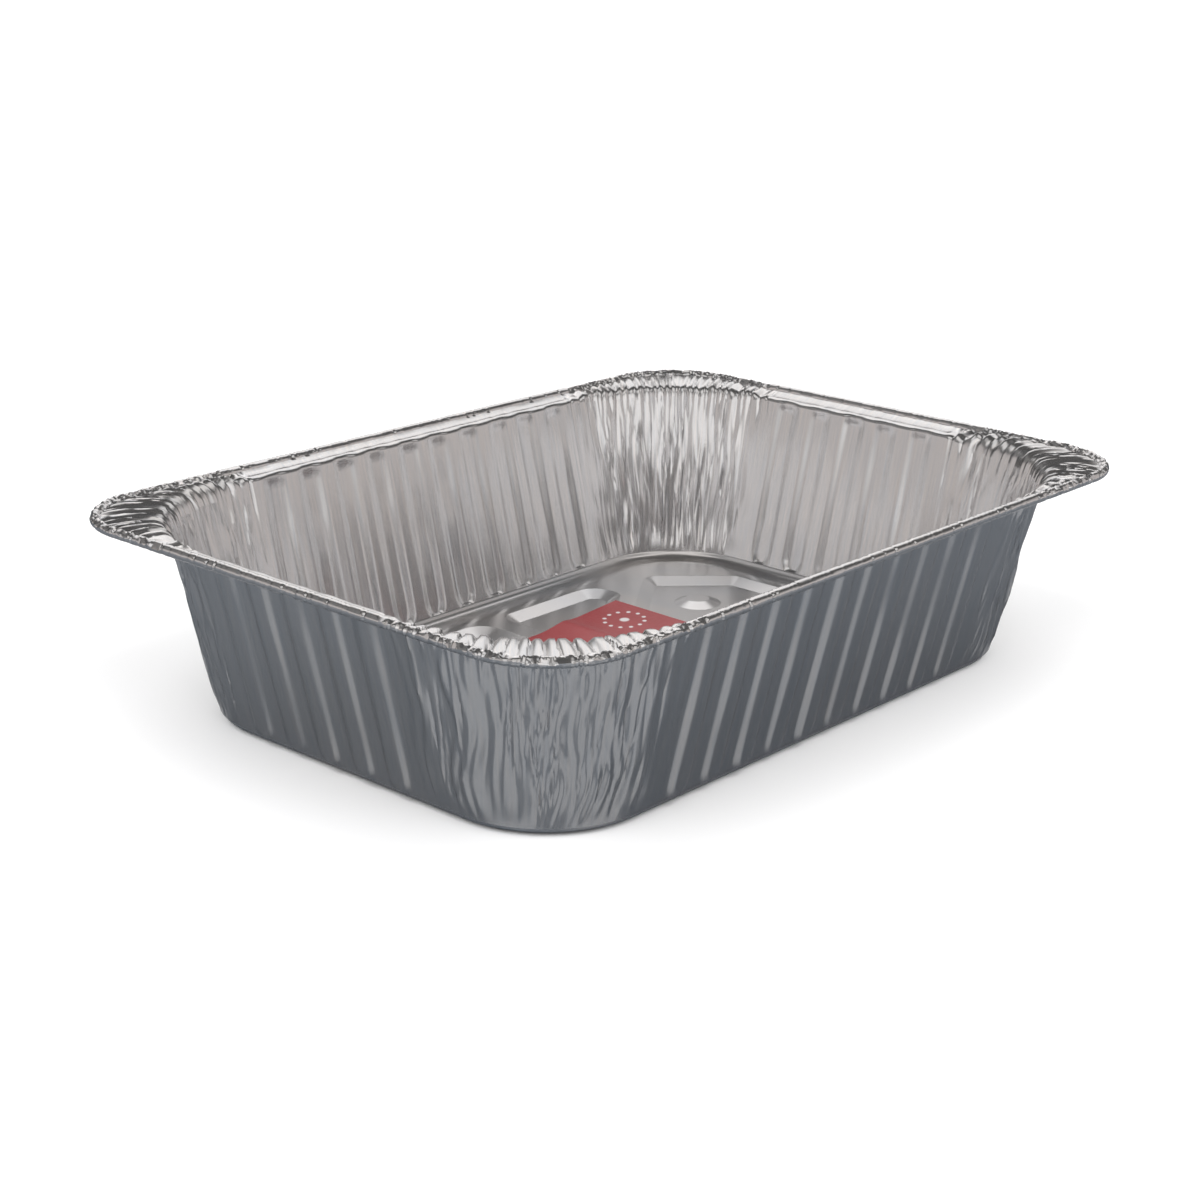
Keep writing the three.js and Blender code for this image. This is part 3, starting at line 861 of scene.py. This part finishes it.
foilFinish = {
    "drawnFoil": (0.22, 0.75, 1.0),  # roughness, share of streaks in its pattern, and a painted brightness that paints the floor's copy of the foil lighter, as painted light
    "floorFoil": (0.30, 0.0, 1.05),
    "warm": (0.80, 0.775, 0.76),
    "cool": (0.70, 0.71, 0.73),
    "toneStops": (0.35, 0.65),
    "streak": (210.0, 3.0, 0.6),  # scale, detail and roughness of each pattern
    "dents": (90.0, 3.0, 0.55),
    "grain": (900.0, 2.0, 0.5),
    "cloud": (14.0, 4.0, 0.5),
    "streakRun": 0.018,  # below 1, the streaks are drawn out up the wall
    "roughSpread": 0.08,
    "grainRough": 0.06,
    "drawnCalm": 0.5,  # how much flatter dents and grain lie where the foil is drawn
    "dentSize": 0.05,
    "grainSize": 0.01,
    "streakSize": 0.012,
    "bump": (0.35, 0.002),  # strength and distance
}


def makeFoil(name):
    material, wire = newMaterial(name)
    roughness, drawn, paintedBrightness = foilFinish[name]
    place = wire.node("ShaderNodeTexCoord", out="Object")
    sheet = wire.node("ShaderNodeTexCoord", out="UV")
    turn = wire.node("ShaderNodeSeparateXYZ", None, {"Vector": sheet}, "X") * (2 * math.pi)
    climb = wire.node("ShaderNodeSeparateXYZ", None, {"Vector": sheet}, "Y") * foilFinish["streakRun"]
    around = wire.node("ShaderNodeCombineXYZ", None, {
        "X": wire.maths("COSINE", turn), "Y": wire.maths("SINE", turn), "Z": climb,
    })
    streak = noise(wire, around, foilFinish["streak"])
    dents, grain, cloud = (noise(wire, place, foilFinish[key]) for key in ("dents", "grain", "cloud"))
    mixed = cloud * (1 - drawn) + streak * drawn
    # painted light: the floor's foil colours are scaled lighter than the wall's
    colours = [tuple(paintedBrightness * value for value in foilFinish[key]) for key in ("cool", "warm")]
    stops = tuple(zip(foilFinish["toneStops"], colours))
    tone = wire.node("ShaderNodeValToRGB", {"stops": stops}, {"Fac": mixed})
    rough = roughness + (mixed - 0.5) * foilFinish["roughSpread"] + (grain - 0.5) * foilFinish["grainRough"]
    calm = 1 - foilFinish["drawnCalm"] * drawn
    height = dents * (calm * foilFinish["dentSize"]) + grain * (calm * foilFinish["grainSize"])
    height = height + streak * (foilFinish["streakSize"] * drawn)
    strength, distance = foilFinish["bump"]
    bump = wire.node("ShaderNodeBump", None, {"Height": height, "Strength": strength, "Distance": distance})
    shade = wire.node("ShaderNodeBsdfPrincipled", None, {
        "Base Color": tone, "Metallic": 1.0, "Roughness": rough, "Normal": bump,
    })
    wire.node("ShaderNodeOutputMaterial", None, {"Surface": shade})
    return material


paperFinish = {
    "red": (0.21, 0.016, 0.019),
    "paleRed": (0.26, 0.030, 0.034),
    "redStops": (0.3, 0.9),
    "ink": (0.52, 0.50, 0.50),
    "fibre": (600.0, 4.0, 0.5),  # scale, detail and roughness of each pattern
    "mottle": (25.0, 3.0, 0.5),
    "roughness": 0.36,
    "roughSpread": 0.15,
    "coat": (0.4, 0.25),  # weight and roughness
    "bump": (0.12, 0.0005),  # strength and distance
    "wreathAt": (0.049, 0.041),  # metres, here and below
    "wreathRadius": 0.0105,
    "dots": 12,
    "dotRadius": 0.0011,
    "middleDot": 0.45,  # a ring dot's size, of the middle one's
    "inkEdge": 0.0003,
}


def makePaper():
    material, wire = newMaterial("printedPaper")
    place = wire.node("ShaderNodeTexCoord", out="Object")
    fibre, mottle = (noise(wire, place, paperFinish[key]) for key in ("fibre", "mottle"))
    stops = tuple(zip(paperFinish["redStops"], (paperFinish["red"], paperFinish["paleRed"])))
    red = wire.node("ShaderNodeValToRGB", {"stops": stops}, {"Fac": mottle})
    midX, midY = paperFinish["wreathAt"]
    across = wire.node("ShaderNodeSeparateXYZ", None, {"Vector": place}, "X") - midX
    along = wire.node("ShaderNodeSeparateXYZ", None, {"Vector": place}, "Y") - midY
    far = wire.maths("SQRT", across * across + along * along)
    turn = wire.maths("ARCTAN2", along, across)
    beside = wire.maths("PINGPONG", turn, math.pi / paperFinish["dots"]) * paperFinish["wreathRadius"]
    beyond = far - paperFinish["wreathRadius"]
    dotDistance = wire.maths("SQRT", beside * beside + beyond * beyond)
    nearest = wire.maths("MINIMUM", dotDistance, far * paperFinish["middleDot"])
    inked = wire.node("ShaderNodeMapRange", {"interpolation_type": "SMOOTHSTEP"}, {
        "Value": nearest, "From Min": paperFinish["dotRadius"] - paperFinish["inkEdge"],
        "From Max": paperFinish["dotRadius"] + paperFinish["inkEdge"], "To Min": 1.0, "To Max": 0.0,
    })
    tone = wire.node("ShaderNodeMix", {"data_type": "RGBA"}, {
        "Factor": inked, "A": red, "B": (*paperFinish["ink"], 1),
    }, "Result")
    strength, distance = paperFinish["bump"]
    bump = wire.node("ShaderNodeBump", None, {"Height": fibre, "Strength": strength, "Distance": distance})
    rough = paperFinish["roughness"] + (fibre - 0.5) * paperFinish["roughSpread"]
    coat, coatRoughness = paperFinish["coat"]
    shade = wire.node("ShaderNodeBsdfPrincipled", None, {
        "Base Color": tone, "Roughness": rough, "Normal": bump,
        "Coat Weight": coat, "Coat Roughness": coatRoughness,
    })
    wire.node("ShaderNodeOutputMaterial", None, {"Surface": shade})
    return material


drawnFoil, floorFoil = makeFoil("drawnFoil"), makeFoil("floorFoil")
for piece, finish in ((panWall, drawnFoil), (panRim, drawnFoil), (panFloor, floorFoil)):
    hangOn(piece, "foil_pan", finish)
hangOn(paperLabel, "paper_label", makePaper())
print("materials set")


# studio: pale floor, soft panels round the pan in a dim surround, fills that the foil doesn't mirror, and
# painted shade on the floor that only the foil's reflections show
studio = {
    "floorHalf": 40.0,
    "floorColour": (0.93, 0.935, 0.94),
    "floorShadeInFoil": (0.14, 0.16, 0.185),  # painted shade: a darker floor that only the foil's reflections see, which darkens the outer walls
    "floorSheen": (0.36, 0.2),  # how much of it is sheen, and how rough
    "surround": (1.0, 0.98, 0.97),
    "surroundPower": 0.09,
    "panelEdge": 0.55,  # where a panel starts to fade, of its half size
    "panels": (
        # degrees round from +X and above level, half width and half height in degrees, power, colour
        (41.5, 36.0, 44.0, 38.0, 0.98, (1.0, 0.98, 0.97)),
        (40.0, 60.0, 34.0, 13.0, 0.40, (1.0, 0.98, 0.97)),
        (127.0, 40.0, 26.0, 18.0, 0.12, (1.0, 0.98, 0.97)),
        (228.0, 12.0, 64.0, 28.0, 0.95, (1.0, 0.98, 0.97)),
        (187.0, 47.0, 28.0, 20.0, 0.80, (1.0, 0.98, 0.96)),
        (277.0, 46.0, 30.0, 20.0, 0.80, (1.0, 0.98, 0.96)),
        (230.0, 46.0, 30.0, 20.0, 0.05, (1.0, 1.0, 1.0)),
        (-48.0, 9.0, 46.0, 21.0, 0.50, (1.0, 0.93, 0.90)),
        (146.0, 9.0, 46.0, 21.0, 0.50, (1.0, 0.93, 0.90)),
    ),
    "fills": (
        # name, where it comes from, degrees across, power
        ("leftFill", (-0.95, 0.10, 0.85), 50.0, 1.7),
        ("rightFill", (0.0, -0.95, 0.85), 50.0, 1.7),
        ("topFill", (0.1, 0.1, 1.0), 90.0, 1.0),
    ),
}


def layFloor():
    bpy.ops.object.select_all(action="DESELECT")
    bpy.ops.mesh.primitive_plane_add(size=2 * studio["floorHalf"], location=(0, 0, 0))
    ground = bpy.context.object
    ground.name = "studioFloor"
    material, wire = newMaterial("studioFloor")
    # painted shade: rays that the foil mirrors see the floor as a dim colour mixed with sheen, while the
    # camera sees it pale
    mirrored = wire.node("ShaderNodeLightPath", out="Is Glossy Ray")
    plain = wire.node("ShaderNodeBsdfDiffuse", None, {"Color": (*studio["floorColour"], 1)})
    dim = wire.node("ShaderNodeBsdfDiffuse", None, {"Color": (*studio["floorShadeInFoil"], 1)})
    share, roughness = studio["floorSheen"]
    sheen = wire.node("ShaderNodeBsdfGlossy", None, {"Roughness": roughness})
    paintedShadeInFoil = wire.node("ShaderNodeMixShader", None, {"Fac": share, 1: dim, 2: sheen})
    shade = wire.node("ShaderNodeMixShader", None, {"Fac": mirrored, 1: plain, 2: paintedShadeInFoil})
    wire.node("ShaderNodeOutputMaterial", None, {"Surface": shade})
    ground.data.materials.append(material)


def hangFills():
    for name, source, across, power in studio["fills"]:
        bpy.ops.object.light_add(type="SUN", location=source)
        fill = bpy.context.object
        fill.name = name
        fill.data.angle, fill.data.energy = math.radians(across), power
        fill.rotation_euler = (-Vector(source)).to_track_quat("-Z", "Y").to_euler()
        fill.visible_glossy = False


def hangPanels():  # soft ellipses of light, painted on the surround
    world = bpy.data.worlds.new("surround")
    bpy.context.scene.world = world
    world.use_nodes = True
    world.node_tree.nodes.clear()
    wire = Wire(world.node_tree)
    heading = wire.node("ShaderNodeTexCoord", out="Generated")
    backdrop = wire.node("ShaderNodeBackground", None, {
        "Color": (*studio["surround"], 1), "Strength": studio["surroundPower"],
    })
    for turn, rise, halfWidth, halfHeight, power, colour in studio["panels"]:
        turn, rise = math.radians(turn), math.radians(rise)
        aim = Vector((math.cos(turn) * math.cos(rise), math.sin(turn) * math.cos(rise), math.sin(rise)))
        aside = Vector((-math.sin(turn), math.cos(turn), 0))
        ahead, across, up = (
            wire.node("ShaderNodeVectorMath", {"operation": "DOT_PRODUCT"}, {0: heading, 1: axis}, "Value")
            for axis in (aim, aside, aim.cross(aside))
        )
        across = across * (1 / math.sin(math.radians(halfWidth)))
        up = up * (1 / math.sin(math.radians(halfHeight)))
        strength = wire.node("ShaderNodeMapRange", {"interpolation_type": "SMOOTHSTEP"}, {
            "Value": wire.maths("SQRT", across * across + up * up),
            "From Min": studio["panelEdge"], "From Max": 1.0, "To Min": power, "To Max": 0.0,
        }) * wire.maths("GREATER_THAN", ahead, 0.0)
        panel = wire.node("ShaderNodeBackground", None, {"Color": (*colour, 1), "Strength": strength})
        backdrop = wire.node("ShaderNodeAddShader", None, {0: backdrop, 1: panel})
    wire.node("ShaderNodeOutputWorld", None, {"Surface": backdrop})


viewpoint = {
    "lens": 67.217,
    "sensor": 36.0,
    "nearest": 0.01,
    "place": (-0.77579, -0.67545, 0.38364),
    "right": (0.66763, -0.74438, 0.01254),
    "up": (0.22876, 0.22115, 0.94803),
    "back": (-0.70847, -0.63007, 0.31793),
}


def setCamera():
    lens = bpy.data.cameras.new("viewpoint")
    lens.lens, lens.sensor_width = viewpoint["lens"], viewpoint["sensor"]
    lens.clip_start = viewpoint["nearest"]
    camera = bpy.data.objects.new("viewpoint", lens)
    bpy.context.scene.collection.objects.link(camera)
    axes = Matrix([viewpoint["right"], viewpoint["up"], viewpoint["back"]]).transposed().to_4x4()
    camera.matrix_world = Matrix.Translation(viewpoint["place"]) @ axes
    bpy.context.scene.camera = camera


layFloor()
hangFills()
hangPanels()
setCamera()
bpy.context.scene.view_settings.view_transform = "Standard"
print("studio and camera set")
